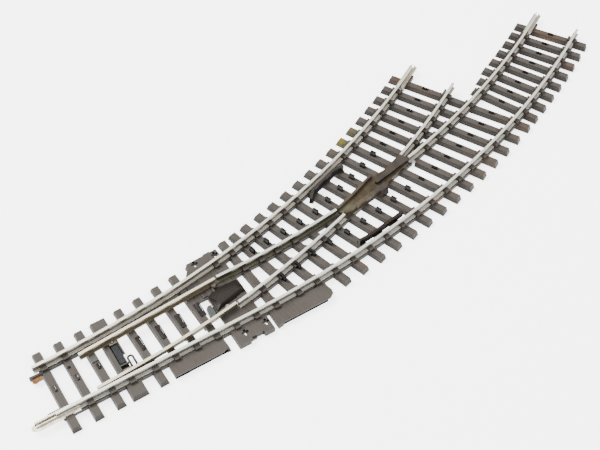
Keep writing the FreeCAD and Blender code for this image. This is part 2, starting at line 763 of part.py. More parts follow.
def drive_slider():
    """The flat slider of the drive: a bar across the track with a rounded tab at its inner end."""
    base = size("bar_base")
    bar_top = base + size("bar_thick")
    left = size("slider_x") - size("slider_width") / 2
    right = left + size("slider_width")
    bar = slab(rectangle(left, right, -15.5, 1.3), base, bar_top)
    arm = slab(rectangle(55.0, right, -1.7, 1.3), base, bar_top)
    tab_outline = [(54.5, 1.2), (55.3, 1.9), (56.4, 1.8), (56.3, -1.7), (54.1, -2.4)]
    tab = slab(tab_outline, base, size("bed_height"))
    upright = [edge for edge in tab.Edges if abs(edge.tangentAt(edge.FirstParameter).z) > 0.9]
    tab = tab.makeFillet(0.35, upright)
    return feature("drive_slider", bar.multiFuse([arm, tab]).removeSplitter())


def round_wire(spots, radius):
    """A bent round wire: straight lengths with a ball at each bend."""
    pieces = []
    for start, end in zip(spots, spots[1:]):
        pieces.append(Part.makeCylinder(radius, (end - start).Length, start, end - start))
    for bend in spots[1:-1]:
        pieces.append(Part.makeSphere(radius, bend))
    return pieces[0].multiFuse(pieces[1:])


def link_wire():
    """The springy link from the tie bar to the slider: a hairpin beside the bar, then a long run."""
    low = size("bar_base") + size("bar_thick") / 2
    high = size("bed_height") - size("link_radius")
    bar_side = size("bar_x") + size("bar_width") / 2
    near = bar_side + size("slide_gap") + size("link_radius") + 0.05
    far = near + 1.6
    bend = 0.45
    front = -1.2
    spots = [
        Vector(bar_side, -8.1, low),
        Vector(near, -8.1, low),
        Vector(near, -6.3, low),
        Vector(near, -4.9, high),
        Vector(near, front - bend, high),
        Vector(near + bend, front, high),
        Vector(far - bend, front, high),
        Vector(far, front - bend, high),
        Vector(far, -4.9, high),
        Vector(far, -6.3, low),
        Vector(far, -9.0, low),
        Vector(size("slider_x") - size("slider_width") / 2, -9.0, low),
    ]
    return feature("link_wire", round_wire(spots, size("link_radius")))


# The drive cover in plan: its foot and its smaller top, corner by corner.
COVER_BASE = ((57.0, -1.5), (68.2, 0.9), (68.5, 2.7), (67.8, 5.9), (60.1, 6.4), (57.0, 4.6))
COVER_TOP = ((58.9, -0.3), (67.3, 1.6), (67.0, 2.4), (65.7, 3.6), (60.1, 4.1), (57.9, 2.4))


def nearer(corners, distance):
    """An outline with each corner moved that far towards the outline's middle."""
    middle_x = sum(corner[0] for corner in corners) / len(corners)
    middle_y = sum(corner[1] for corner in corners) / len(corners)
    moved = []
    for across, along in corners:
        reach = math.hypot(middle_x - across, middle_y - along)
        step = distance / reach
        moved.append((across + (middle_x - across) * step, along + (middle_y - along) * step))
    return moved


def tapered(low_corners, low, high_corners, high):
    """A block between two outlines with the same number of corners at two heights."""
    loops = []
    for corners, height in ((low_corners, low), (high_corners, high)):
        spots = [Vector(across, along, height) for across, along in corners]
        loops.append(Part.makePolygon(spots + [spots[0]]))
    return Part.makeLoft(loops, True, True)


def drive_cover():
    """The tapered cover over the drive slider: a shell that is open below."""
    base = size("rib_top")
    foot_top = base + size("cover_foot")
    top = size("cover_top")
    wall = size("cover_wall")
    shell = slab(COVER_BASE, base, foot_top).fuse(tapered(COVER_BASE, foot_top, COVER_TOP, top))
    below = slab(nearer(COVER_BASE, wall), base - 0.1, foot_top)
    inside = tapered(nearer(COVER_BASE, wall), foot_top, nearer(COVER_TOP, wall), top - wall)
    return feature("drive_cover", shell.cut(below.fuse(inside)).removeSplitter())


def slide_pad():
    """The smooth pad on the third sleeper that the left blade's tip slides over."""
    corner = Vector(15.95, 2.0, size("bed_height"))
    return block("slide_pad", "2.15", "5.6", "Sizes.blade_lift - 0.07", corner)


# ---------------------------------------------------------------- frog and check rails
def wing(side):
    """The centre line of a wing rail: it runs on from its closure rail beside the other exit."""
    other, first, last = (INNER, 111.2, 130.0) if side == LEFT else (OUTER, 113.2, 132.6)
    beside = size("left_wing" if side == LEFT else "right_wing") - size("rail_offset")
    line = []
    steps = 4
    for step in range(steps + 1):
        along = first + (last - first) * step / steps
        line.append(route_point(other, along, side * beside))
    return line


def frog_plan():
    """The frog's base plate in plan: it fills the space between the wing rails."""
    rear = [
        route_point(INNER, 136.0, -7.3),
        route_point(INNER, 143.4, -7.6),
        route_point(OUTER, 147.4, 7.6),
        route_point(OUTER, 138.0, 7.0),
    ]
    return wing(LEFT) + rear + wing(RIGHT)[::-1]


def frog_nose():
    """The point of the frog, between the two exit rails."""
    edge = size("rail_offset") - size("head_half")
    left = [route_point(INNER, along, -edge) for along in (128.6, 136.0, 143.9)]
    right = [route_point(OUTER, along, edge) for along in (147.9, 139.5, 131.0)]
    return left + right


# The block beside the right wing rail's end: its base and its smaller top in plan.
WING_BLOCK_BASE = ((126.2, 11.3), (127.9, 9.0), (131.2, 9.8), (132.6, 12.3))
WING_BLOCK_TOP = ((127.0, 11.5), (128.6, 10.4), (131.0, 10.9), (132.3, 12.3))


def frog_casting():
    """The moulded frog: base plate, two wing rails and the nose."""
    base = size("bed_height")
    plate_top = base + size("frog_plate")
    rail_top = base + size("rail_height")
    pieces = [slab(frog_plan(), base, plate_top), slab(frog_nose(), base, rail_top)]
    for side in (LEFT, RIGHT):
        pieces.append(strip(wing(side), size("head_half"), base, rail_top - 0.05))
        pieces.append(strip(wing(side), size("foot_half"), base, plate_top))
    # The right wing rail is broader, and a tapered block stands beside its end.
    pieces.append(strip(wing(RIGHT)[1:], size("head_half") + 0.25, base, rail_top - 0.05))
    pieces.append(tapered(WING_BLOCK_BASE, base, WING_BLOCK_TOP, rail_top - 0.15))
    return feature("frog_casting", pieces[0].multiFuse(pieces[1:]).removeSplitter())


def frog_floor(casting):
    """The floor that wheel flanges roll on between the wing rails."""
    base = size("bed_height") + size("frog_plate")
    top = size("bed_height") + size("frog_floor")
    floor = slab(frog_plan(), base, top)
    return feature("frog_floor", floor.cut(casting.Shape))


def check_rail(name, route, side, start, end, flares):
    """A check rail beside a stock rail, bent away from it at its ends, on a low foot."""
    beside = side * (size("rail_offset") - size("flangeway"))
    bend = 4.0
    line = [route_point(route, start, beside - side * flares[0])]
    steps = 4
    for step in range(steps + 1):
        along = start + bend + (end - start - 2 * bend) * step / steps
        line.append(route_point(route, along, beside))
    line.append(route_point(route, end, beside - side * flares[1]))
    base = size("bed_height")
    head = strip(line, size("head_half"), base, base + size("rail_height") - 0.1)
    inward = [spot - Vector(0, side * 0.35, 0) for spot in line]
    foot = strip(inward, size("head_half") + 0.35, base, base + size("foot_thick"))
    return feature(name, head.fuse(foot).removeSplitter())


def frog_peg():
    """The bright peg at the frog's rear end, set into the bed."""
    root = 1.2
    spot = route_point(OUTER, 149.1, 6.85, size("bed_height") - root)
    return post("frog_peg", "Sizes.peg_radius", "Sizes.peg_top + %f" % root, spot)


# ---------------------------------------------------------------- joiners and contacts
def rail_joiner(name, route, side, middle):
    """A folded sheet joiner round a rail's foot, with its two lips against the web."""
    body = doc.addObject("PartDesign::Body", name)
    under = SLEEPER_TOP + " - Sizes.joiner_sheet"
    lip_top = SLEEPER_TOP + " + Sizes.joiner_lip"
    over = FOOT_TOP + " + 0.08"
    half = [
        ("Sizes.joiner_half", under),
        ("Sizes.joiner_half", over + " + Sizes.joiner_sheet"),
        ("Sizes.web_half + 0.1 + Sizes.joiner_sheet", over + " + Sizes.joiner_sheet"),
        ("Sizes.web_half + 0.1 + Sizes.joiner_sheet", lip_top),
        ("Sizes.web_half + 0.1", lip_top),
        ("Sizes.web_half + 0.1", over),
        ("Sizes.foot_half + 0.1", over),
        ("Sizes.foot_half + 0.1", SLEEPER_TOP),
    ]
    outline = half + [("-(%s)" % across, up) for across, up in reversed(half)]
    sketch = outline_sketch(body, name + "_section", "XZ_Plane", outline)
    pad = body.newObject("PartDesign::Pad", name + "_fold")
    pad.Profile = sketch
    pad.setExpression("Length", "Sizes.joiner_length")
    spot = route_point(route, middle, side * size("rail_offset"))
    turn = heading(route, middle)
    along = Vector(math.cos(math.radians(turn)), math.sin(math.radians(turn)), 0)
    # The pad runs towards -Y of the body, which is backwards along the rail.
    body.Placement = Placement(spot + along * size("joiner_length") / 2, Rotation(UP, turn - 90))
    return body


def contact_tongue():
    """The springy copper tongue that joins the centre conductor to the next track."""
    level = size("bed_height") - 0.65
    stem = block("tongue_stem", "1.9", "1.5", "0.3", Vector(-0.3, 4.9, level))
    tip = post("tongue_tip", "0.95", "0.3", Vector(-0.6, 5.6, level))
    return joined("contact_tongue", [stem, tip])


# ---------------------------------------------------------------- the whole turnout
def main():
    """Build every sub-part, check them all and write one file for each."""
    nodes = running_rails()
    nodes.append(blade("left_switch_blade", LEFT))
    nodes.append(blade("right_switch_blade", RIGHT))
    pins = heel_pins()
    nodes.append(pins)
    nodes += [tie_bar(), tie_pins(), drive_slider(), link_wire(), drive_cover(), slide_pad()]
    casting = frog_casting()
    nodes += [casting, frog_floor(casting)]
    nodes.append(check_rail("left_check_rail", INNER, LEFT, 108.4, 127.8, (2.2, 1.4)))
    nodes.append(check_rail("right_check_rail", OUTER, RIGHT, 109.0, 128.3, (0.4, 0.0)))
    peg = frog_peg()
    nodes.append(peg)
    joiners = [
        rail_joiner("entry_rail_joiner", OUTER, RIGHT, 0.35),
        rail_joiner("inner_rail_joiner", INNER, LEFT, 182.6),
        rail_joiner("outer_rail_joiner", OUTER, LEFT, 244.7),
    ]
    nodes += joiners
    nodes.append(contact_tongue())
    studs = {
        "entry_studs": entry_stud_shapes(),
        "inner_studs": route_stud_shapes(INNER, 26, 20, {11: 4.0, 12: 3.4, 13: 2.2, 14: 1.1}),
        "outer_studs": route_stud_shapes(OUTER, 34, 19, {11: -2.3, 12: -1.15, 13: 0.2, 14: 0.4}),
    }
    for name, solids in studs.items():
        nodes.append(feature(name, Part.makeCompound(solids)))
    doc.recompute()
    fitted = [solid for solids in studs.values() for solid in solids]
    for item in [pins, peg]:
        fitted += item.Shape.Solids
    for item in joiners:
        length = size("joiner_length") + 0.1
        width = 2 * size("joiner_half") + 0.04
        seat = Part.makeBox(width, length, size("joiner_sheet") + size("rail_height"))
        under = size("bed_height") - size("joiner_sheet")
        seat.translate(Vector(-width / 2, -length + 0.05, under))
        seat.Placement = item.Placement.multiply(seat.Placement)
        fitted.append(seat)
    nodes.append(sleeper_bed(fitted))
    doc.recompute()
    broken = [item.Label for item in doc.Objects if "Invalid" in item.State or "Error" in item.State]
    if broken:
        raise RuntimeError("failed objects: " + ", ".join(broken))
    for node in nodes:
        if node.Shape.isNull() or not node.Shape.isValid() or not node.Shape.Solids:
            raise RuntimeError("bad shape: " + node.Label)
    os.makedirs("parts", exist_ok=True)
    for node in nodes:
        node.Shape.exportStep("parts/%s.step" % node.Label)
        print("%-22s solids %2d  volume %8.2f" % (node.Label, len(node.Shape.Solids), node.Shape.Volume))


main()
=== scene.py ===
import math

import bmesh
import bpy
from mathutils import Matrix, Vector


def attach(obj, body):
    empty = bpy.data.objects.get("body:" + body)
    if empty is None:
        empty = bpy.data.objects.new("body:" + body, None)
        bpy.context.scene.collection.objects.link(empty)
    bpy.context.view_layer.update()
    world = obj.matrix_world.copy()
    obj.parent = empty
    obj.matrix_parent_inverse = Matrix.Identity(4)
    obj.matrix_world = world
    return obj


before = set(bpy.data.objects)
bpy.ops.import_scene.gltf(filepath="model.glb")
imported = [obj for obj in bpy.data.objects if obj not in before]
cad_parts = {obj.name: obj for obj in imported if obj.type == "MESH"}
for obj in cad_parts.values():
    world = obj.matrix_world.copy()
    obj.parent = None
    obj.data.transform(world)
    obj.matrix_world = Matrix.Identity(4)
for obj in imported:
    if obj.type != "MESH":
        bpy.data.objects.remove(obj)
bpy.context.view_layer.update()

MM = 0.001
BED_TOP = 2.1
RAIL_TOP = 4.6
ROUTE_RADIUS = 360.0
OUTER_STRAIGHT = 64.6
RAIL_OFFSET = 8.7


# ---------------------------------------------------------------- node graphs
class Graph:
    """A material with helpers that add nodes and link them."""

    def __init__(self, name):
        self.material = bpy.data.materials.new(name)
        self.material.use_nodes = True
        self.tree = self.material.node_tree
        self.shader = self.tree.nodes["Principled BSDF"]
        place = self.tree.nodes.new("ShaderNodeTexCoord")
        self.place = place.outputs["Object"]
        self.normal = self.tree.nodes.new("ShaderNodeNewGeometry").outputs["Normal"]

    def put(self, socket, what):
        """Set a socket to a number or a colour, or link it."""
        if isinstance(what, bpy.types.NodeSocket):
            self.tree.links.new(what, socket)
        elif isinstance(what, (tuple, list)) and len(what) == 3 and socket.type == "RGBA":
            socket.default_value = (*what, 1.0)
        else:
            socket.default_value = what

    def node(self, kind, settings=(), **inputs):
        """A new node with its settings made and its named inputs set or linked."""
        made = self.tree.nodes.new(kind)
        for name, setting in dict(settings).items():
            setattr(made, name, setting)
        for name, what in inputs.items():
            self.put(made.inputs[name], what)
        return made

    def math(self, operation, first, second=0.0):
        made = self.node("ShaderNodeMath", {"operation": operation})
        self.put(made.inputs[0], first)
        self.put(made.inputs[1], second)
        return made.outputs[0]

    def stretched(self, along_x, along_y, along_z):
        """The place of a point in millimetres, scaled by three factors."""
        made = self.node("ShaderNodeVectorMath", {"operation": "MULTIPLY"})
        self.put(made.inputs[0], self.place)
        made.inputs[1].default_value = (along_x / MM, along_y / MM, along_z / MM)
        return made.outputs[0]

    def noise(self, scale=1.0, detail=4.0, rough=0.55, stretch=(1, 1, 1)):
        """Noise with `scale` waves in a millimetre, from 0 to 1."""
        made = self.node("ShaderNodeTexNoise", Vector=self.stretched(*stretch), Scale=scale, Detail=detail)
        made.inputs["Roughness"].default_value = rough
        return made.outputs["Fac"]

    def between(self, what, low, high, to_low=0.0, to_high=1.0):
        """A smooth step from one value to another as `what` goes from low to high."""
        made = self.node("ShaderNodeMapRange", {"interpolation_type": "SMOOTHSTEP"}, Value=what)
        for name, number in (("From Min", low), ("From Max", high), ("To Min", to_low), ("To Max", to_high)):
            made.inputs[name].default_value = number
        return made.outputs[0]

    def mix(self, factor, first, second):
        made = self.node("ShaderNodeMix", {"data_type": "RGBA"})
        self.put(made.inputs[0], factor)
        self.put(made.inputs[6], first)
        self.put(made.inputs[7], second)
        return made.outputs[2]

    def upward(self, low=0.3, high=0.9):
        """1 on surfaces that face up, 0 on upright ones."""
        split = self.node("ShaderNodeSeparateXYZ", Vector=self.normal)
        return self.between(split.outputs["Z"], low, high)

    def height(self, low, high):
        """0 below a height in millimetres and 1 above another."""
        split = self.node("ShaderNodeSeparateXYZ", Vector=self.place)
        return self.between(split.outputs["Z"], low * MM, high * MM)

    def near(self, spot, reach, ragged=0.6):
        """A ragged patch round a spot, both in millimetres."""
        made = self.node("ShaderNodeVectorMath", {"operation": "DISTANCE"})
        self.put(made.inputs[0], self.place)
        made.inputs[1].default_value = [number * MM for number in spot]
        patch = self.between(made.outputs["Value"], reach * MM, 0.15 * reach * MM)
        blotch = self.between(self.noise(0.9, 5.0), 0.35, 0.62, 1.0 - ragged, 1.0)
        return self.math("MULTIPLY", patch, blotch)

    def edges(self, radius=0.12, low=0.004, high=0.05):
        """1 along sharp edges, where a finish is worn."""
        bevel = self.node("ShaderNodeBevel", {"samples": 6}, Radius=radius * MM)
        dot = self.node("ShaderNodeVectorMath", {"operation": "DOT_PRODUCT"})
        self.put(dot.inputs[0], bevel.outputs[0])
        self.put(dot.inputs[1], self.normal)
        gap = self.math("SUBTRACT", 1.0, dot.outputs["Value"])
        return self.between(gap, low, high)

    def bump(self, what, depth):
        """Raise the surface by a depth in millimetres."""
        made = self.node("ShaderNodeBump", Height=what, Strength=1.0, Distance=depth * MM)
        self.put(self.shader.inputs["Normal"], made.outputs[0])

    def finish(self, colour, rough, metal=0.0, **sockets):
        """Set the shader's main sockets and any others, and give the material."""
        self.put(self.shader.inputs["Base Color"], colour)
        self.put(self.shader.inputs["Roughness"], rough)
        self.put(self.shader.inputs["Metallic"], metal)
        for name, what in sockets.items():
            self.put(self.shader.inputs[name.replace("_", " ")], what)
        return self.material


# ---------------------------------------------------------------- places on the routes
def route_spot(route, along, left, height=0.0):
    """A point of the inner or outer route, in millimetres."""
    straight = 0.0 if route == "inner" else OUTER_STRAIGHT
    if along < straight:
        return Vector((along, left, height))
    angle = (along - straight) / ROUTE_RADIUS
    reach = ROUTE_RADIUS - left
    return Vector((straight + reach * math.sin(angle), ROUTE_RADIUS - reach * math.cos(angle), height))


# ---------------------------------------------------------------- materials
def bed_material():
    """Grey-brown plastic with paler worn edges and stains, painted shade on the sides, and painted shade
    darkening the low walls.
    """
    g = Graph("bed_plastic")
    grain = g.noise(0.9, 6.0, 0.65, (1.6, 0.35, 1.0))
    cloud = g.noise(0.05, 3.0)
    fine = g.noise(5.0, 3.0, 0.7)
    # Painted light and shade: faces that look up take the lighter top colours, and upright faces take the
    # darker side colours.
    top = g.mix(g.between(cloud, 0.3, 0.7), (0.046, 0.038, 0.033), (0.056, 0.050, 0.045))
    top = g.mix(g.between(grain, 0.3, 0.75), top, (0.066, 0.058, 0.050))
    side = g.mix(g.between(cloud, 0.35, 0.65), (0.019, 0.016, 0.013), (0.026, 0.023, 0.020))
    colour = g.mix(g.upward(), side, top)
    colour = g.mix(g.between(fine, 0.56, 0.72, 0.0, 0.35), colour, (0.084, 0.076, 0.067))
    colour = g.mix(g.math("MULTIPLY", g.edges(), 0.40), colour, (0.112, 0.101, 0.088))
    # Painted shade: the bed is darkened towards near black below 1.6 mm, where the low walls lie in shade.
    low = g.height(0.0, 1.6)
    colour = g.mix(g.between(low, 0.0, 1.0, 0.8, 0.0), colour, (0.011, 0.008, 0.007))
    stains = (
        ((0.146, 0.120, 0.003), 3.2, route_spot("inner", 139.5, 13.2, 2.0), 0.95),
        ((0.106, 0.092, 0.011), 3.0, route_spot("inner", 146.3, 13.0, 2.0), 0.6),
        ((0.073, 0.064, 0.022), 3.0, route_spot("inner", 132.7, 13.0, 2.0), 0.4),
        ((0.084, 0.073, 0.017), 2.6, Vector((46.3, 12.5, 2.0)), 0.7),
        ((0.168, 0.062, 0.018), 3.0, route_spot("outer", 143.5, -10.4, 2.0), 0.9),
        ((0.123, 0.062, 0.028), 4.0, route_spot("outer", 150.0, -11.4, 1.6), 0.6),
        ((0.168, 0.059, 0.018), 2.6, Vector((107.5, -10.2, 2.0)), 0.9),
        ((0.067, 0.031, 0.019), 5.0, route_spot("inner", 180.6, 10.5, 1.6), 0.9),
        ((0.073, 0.040, 0.025), 9.0, route_spot("inner", 181.0, 0.0, 0.6), 0.35),
        ((0.112, 0.062, 0.031), 3.4, route_spot("outer", 231.0, -12.0, 2.0), 0.6),
        ((0.084, 0.046, 0.024), 9.0, route_spot("outer", 243.5, 1.0, 0.6), 0.7),
        ((0.062, 0.044, 0.028), 12.0, route_spot("outer", 168.0, -11.0, 1.0), 0.6),
        ((0.067, 0.044, 0.031), 10.0, route_spot("outer", 190.0, -11.0, 1.0), 0.5),
        ((0.040, 0.028, 0.022), 14.0, Vector((72.0, -2.0, 2.0)), 0.5),
    )
    for tint, reach, spot, strength in stains:
        colour = g.mix(g.math("MULTIPLY", g.near(spot, reach), strength), colour, tint)
    # Painted shadow: the set-back walls below the two long plates, which lie in shade, are painted almost
    # black and have no shine.
    shine = 0.18
    plate_spans = ((34.8, 53.4), (72.7, 91.8))
    fade = 0.2
    split = g.node("ShaderNodeSeparateXYZ", Vector=g.place)
    outside = g.between(split.outputs["Y"], -13.8 * MM, -14.0 * MM)
    for start, end in plate_spans:
        span = g.math(
            "MULTIPLY", g.between(split.outputs["X"], start * MM, (start + fade) * MM),
            g.between(split.outputs["X"], end * MM, (end - fade) * MM))
        below = g.math("SUBTRACT", 1.0, g.height(1.30, 1.45))
        wall_shadow = g.math("MULTIPLY", g.math("MULTIPLY", span, outside), below)
        colour = g.mix(wall_shadow, colour, (0.002, 0.002, 0.002))
        shine = g.math("MULTIPLY", shine, g.math("SUBTRACT", 1.0, wall_shadow))
    g.bump(g.math("ADD", grain, g.math("MULTIPLY", fine, 0.4)), 0.09)
    rough = g.between(grain, 0.2, 0.8, 0.50, 0.68)
    return g.finish(colour, rough, 0.0, Specular_IOR_Level=shine)


def rail_material(name, head, head_side, foot, dirt_and_web_shade):
    """A drawn rail: a pale head whose top is painted brighter than its sides, a dark line of painted shade
    along the web below it, and a dull foot.
    """
    g = Graph(name)
    foot_top = BED_TOP + 0.41
    web_start = BED_TOP + 0.52
    web_end = RAIL_TOP - 0.88
    head_start = RAIL_TOP - 0.30
    along = g.noise(0.10, 4.0, 0.6)
    brushed = g.noise(1.3, 5.0, 0.6, (1.0, 1.0, 7.0))
    spots = g.noise(1.1, 6.0, 0.7)
    dull = tuple(channel * 0.82 for channel in foot)
    low = g.mix(g.between(along, 0.35, 0.65), foot, dull)
    low = g.mix(g.between(spots, 0.55, 0.72, 0.0, 0.35), low, dirt_and_web_shade)
    # Painted shade: from just above the foot up to below the head, the web is painted almost all in the dark
    # dirt colour, as a line of shade under the head. Elsewhere the dirt colour marks only real dirt specks.
    web = g.mix(g.between(spots, 0.40, 0.66, 0.88, 1.0), foot, dirt_and_web_shade)
    colour = g.mix(g.height(foot_top, web_start), low, web)
    upper = g.mix(g.between(spots, 0.58, 0.76, 0.0, 0.35), head_side, foot)
    colour = g.mix(g.height(web_end, head_start), colour, upper)
    # Painted highlight: faces of the head that look up take the pale head colour, much lighter than the
    # head's upright sides.
    top = g.mix(g.between(along, 0.3, 0.7), head, tuple(channel * 0.93 for channel in head))
    top = g.mix(g.between(spots, 0.64, 0.80, 0.0, 0.25), top, foot)
    crown = g.math("MULTIPLY", g.upward(), g.height(head_start, RAIL_TOP - 0.1))
    colour = g.mix(crown, colour, top)
    g.bump(brushed, 0.012)
    rough = g.between(spots, 0.3, 0.7, 0.32, 0.48)
    return g.finish(colour, rough, 0.45, Specular_IOR_Level=0.6)


def frog_material():
    """Dark plastic with a tan patch and worn edges."""
    g = Graph("frog_plastic")
    cloud = g.noise(0.22, 5.0, 0.6)
    grain = g.noise(1.7, 6.0, 0.7)
    # Painted light and shade: faces that look up take the lighter top colours, and upright faces take the
    # darker side colours.
    top = g.mix(g.between(cloud, 0.35, 0.62), (0.024, 0.020, 0.018), (0.040, 0.031, 0.025))
    side = g.mix(g.between(cloud, 0.4, 0.6), (0.011, 0.009, 0.008), (0.021, 0.016, 0.012))
    colour = g.mix(g.upward(), side, top)
    tan = g.math("MULTIPLY", g.near(route_spot("outer", 119.5, 6.0, 4.0), 13.0, 0.5), 0.75)
    colour = g.mix(tan, colour, (0.081, 0.060, 0.032))
    colour = g.mix(g.between(grain, 0.58, 0.74, 0.0, 0.55), colour, (0.093, 0.064, 0.037))
    colour = g.mix(g.math("MULTIPLY", g.edges(), 0.50), colour, (0.105, 0.093, 0.081))
    g.bump(grain, 0.06)
    return g.finish(colour, g.between(grain, 0.3, 0.7, 0.40, 0.62), Specular_IOR_Level=0.22)


def check_rail_material():
    """Dark plastic, browner on the right check rail."""
    g = Graph("check_rail_plastic")
    cloud = g.noise(0.2, 5.0, 0.6)
    grain = g.noise(1.9, 6.0, 0.7)
    # Painted light and shade: faces that look up are painted lighter than the upright faces.
    plain = g.mix(g.upward(), (0.011, 0.009, 0.009), (0.025, 0.021, 0.019))
    rusty = g.mix(g.upward(), (0.009, 0.006, 0.005), (0.019, 0.012, 0.009))
    right = g.near(route_spot("outer", 118.5, -6.0, 3.0), 24.0, 0.1)
    colour = g.mix(right, plain, rusty)
    colour = g.mix(g.between(cloud, 0.52, 0.68, 0.0, 0.5), colour, (0.022, 0.016, 0.012))
    colour = g.mix(g.math("MULTIPLY", g.edges(), 0.40), colour, (0.068, 0.060, 0.052))
    g.bump(grain, 0.07)
    return g.finish(colour, g.between(grain, 0.3, 0.7, 0.42, 0.64), Specular_IOR_Level=0.15)


def frog_floor_material():
    """Mottled brown plastic with an olive patch."""
    g = Graph("frog_floor_plastic")
    cloud = g.noise(0.35, 6.0, 0.65)
    fine = g.noise(2.6, 5.0, 0.7)
    colour = g.mix(g.between(cloud, 0.32, 0.66), (0.022, 0.015, 0.009), (0.055, 0.041, 0.021))
    olive = g.near(route_spot("inner", 112.0, -7.0, 3.0), 8.0, 0.3)
    colour = g.mix(olive, colour, (0.096, 0.092, 0.053))
    colour = g.mix(g.between(fine, 0.55, 0.72, 0.0, 0.7), colour, (0.021, 0.014, 0.009))
    g.bump(g.math("ADD", cloud, fine), 0.12)
    return g.finish(colour, g.between(fine, 0.3, 0.7, 0.5, 0.75), Specular_IOR_Level=0.2)


def dark_material(name, body, worn, rough, metal=0.0, wear=0.5):
    """A dark plastic or blackened metal that has gone pale along its edges."""
    g = Graph(name)
    grain = g.noise(1.8, 6.0, 0.68)
    cloud = g.noise(0.4, 4.0)
    # Painted light: faces that look up are painted 1.7 times lighter than the upright ones.
    top = tuple(channel * 1.7 for channel in body)
    colour = g.mix(g.upward(), body, top)
    dusty = tuple(channel * 2.2 for channel in body)
    colour = g.mix(g.between(cloud, 0.45, 0.7, 0.0, 0.5), colour, dusty)
    colour = g.mix(g.math("MULTIPLY", g.edges(), wear), colour, worn)
    g.bump(grain, 0.05)
    polish = g.between(grain, 0.3, 0.7, rough - 0.08, rough + 0.10)
    return g.finish(colour, polish, metal, Specular_IOR_Level=0.2)


def metal_material(name, bright, dull, rough, metal=0.85):
    """A bare metal with a cloudy tarnish."""
    g = Graph(name)
    cloud = g.noise(0.5, 5.0, 0.6)
    scratch = g.noise(2.2, 5.0, 0.6, (1.0, 1.0, 6.0))
    colour = g.mix(g.between(cloud, 0.40, 0.66), bright, dull)
    g.bump(scratch, 0.015)
    return g.finish(colour, g.between(cloud, 0.3, 0.7, rough - 0.06, rough + 0.12), metal)


def copper_material():
    """Dull copper with a cloudy tarnish."""
    g = Graph("copper")
    cloud = g.noise(0.9, 5.0, 0.6)
    colour = g.mix(g.between(cloud, 0.36, 0.64), (0.19, 0.080, 0.013), (0.10, 0.038, 0.006))
    g.bump(g.noise(3.0, 4.0), 0.02)
    return g.finish(colour, g.between(cloud, 0.3, 0.7, 0.38, 0.5), 0.1, Specular_IOR_Level=0.2)


def joiner_material():
    """Pale sheet metal with brown specks."""
    g = Graph("joiner_metal")
    cloud = g.noise(0.5, 5.0, 0.6)
    fine = g.noise(2.4, 5.0, 0.6)
    colour = g.mix(g.between(cloud, 0.38, 0.66), (0.640, 0.616, 0.528), (0.464, 0.424, 0.320))
    colour = g.mix(g.between(fine, 0.60, 0.75, 0.0, 0.5), colour, (0.240, 0.192, 0.112))
    g.bump(fine, 0.02)
    return g.finish(colour, g.between(cloud, 0.3, 0.7, 0.26, 0.42), 0.65)


bed = bed_material()
BROWN_DIRT_AND_WEB_SHADE = (0.020, 0.016, 0.011)
rails = rail_material(
    "nickel_silver", (0.74, 0.70, 0.59), (0.20, 0.19, 0.155), (0.72, 0.68, 0.58), BROWN_DIRT_AND_WEB_SHADE)
near_rail = rail_material(
    "right_stock_metal", (0.74, 0.71, 0.61), (0.27, 0.28, 0.265), (0.66, 0.64, 0.57), BROWN_DIRT_AND_WEB_SHADE)
closure = rail_material(
    "closure_rail_metal", (0.66, 0.66, 0.60), (0.13, 0.13, 0.105), (0.15, 0.145, 0.09), (0.022, 0.022, 0.015))
blades = rail_material(
    "blade_metal", (0.68, 0.62, 0.48), (0.22, 0.185, 0.125), (0.46, 0.42, 0.31), (0.110, 0.090, 0.056))
cover_look = dark_material("cover_plastic", (0.0075, 0.0058, 0.0048), (0.050, 0.036, 0.026), 0.42, 0.0, 0.55)
stud_look = dark_material("stud_metal", (0.0018, 0.0017, 0.0016), (0.10, 0.095, 0.085), 0.45, 0.0, 0.12)
entry_stud_look = metal_material("entry_stud_metal", (0.028, 0.026, 0.023), (0.010, 0.009, 0.008), 0.45)
tie_bar_look = dark_material("tie_bar_plastic", (0.007, 0.008, 0.009), (0.042, 0.047, 0.050), 0.50, 0.0, 0.6)
slider_look = dark_material("slider_metal", (0.036, 0.041, 0.039), (0.15, 0.155, 0.145), 0.40, 0.3, 0.4)
steel = metal_material("steel", (0.30, 0.30, 0.29), (0.10, 0.095, 0.09), 0.34)
wire_look = metal_material("wire_steel", (0.030, 0.029, 0.027), (0.010, 0.0095, 0.009), 0.42, 0.5)
peg_look = metal_material("peg_steel", (0.60, 0.60, 0.60), (0.36, 0.355, 0.34), 0.24)
pad_look = dark_material("pad_metal", (0.034, 0.033, 0.030), (0.15, 0.145, 0.13), 0.38, 0.3, 0.5)
joiner_look = joiner_material()
frog_look = frog_material()
frog_floor_look = frog_floor_material()
check_rail_look = check_rail_material()
copper_look = copper_material()

LOOKS = {
    "sleeper_bed": bed,
    "left_stock_rail": rails,
    "right_stock_rail": near_rail,
    "inner_exit_rail": rails,
    "outer_exit_rail": rails,
    "left_closure_rail": closure,
    "right_closure_rail": near_rail,
    "left_switch_blade": blades,
    "right_switch_blade": blades,
    "heel_pins": steel,
    "tie_bar": tie_bar_look,
    "tie_pins": steel,
    "drive_slider": slider_look,
    "link_wire": wire_look,
    "drive_cover": cover_look,
    "slide_pad": pad_look,
    "frog_casting": frog_look,
    "frog_floor": frog_floor_look,
    "left_check_rail": check_rail_look,
    "right_check_rail": check_rail_look,
    "frog_peg": peg_look,
    "entry_rail_joiner": joiner_look,
    "inner_rail_joiner": joiner_look,
    "outer_rail_joiner": joiner_look,
    "contact_tongue": copper_look,
    "entry_studs": entry_stud_look,
    "inner_studs": stud_look,
    "outer_studs": stud_look,
}


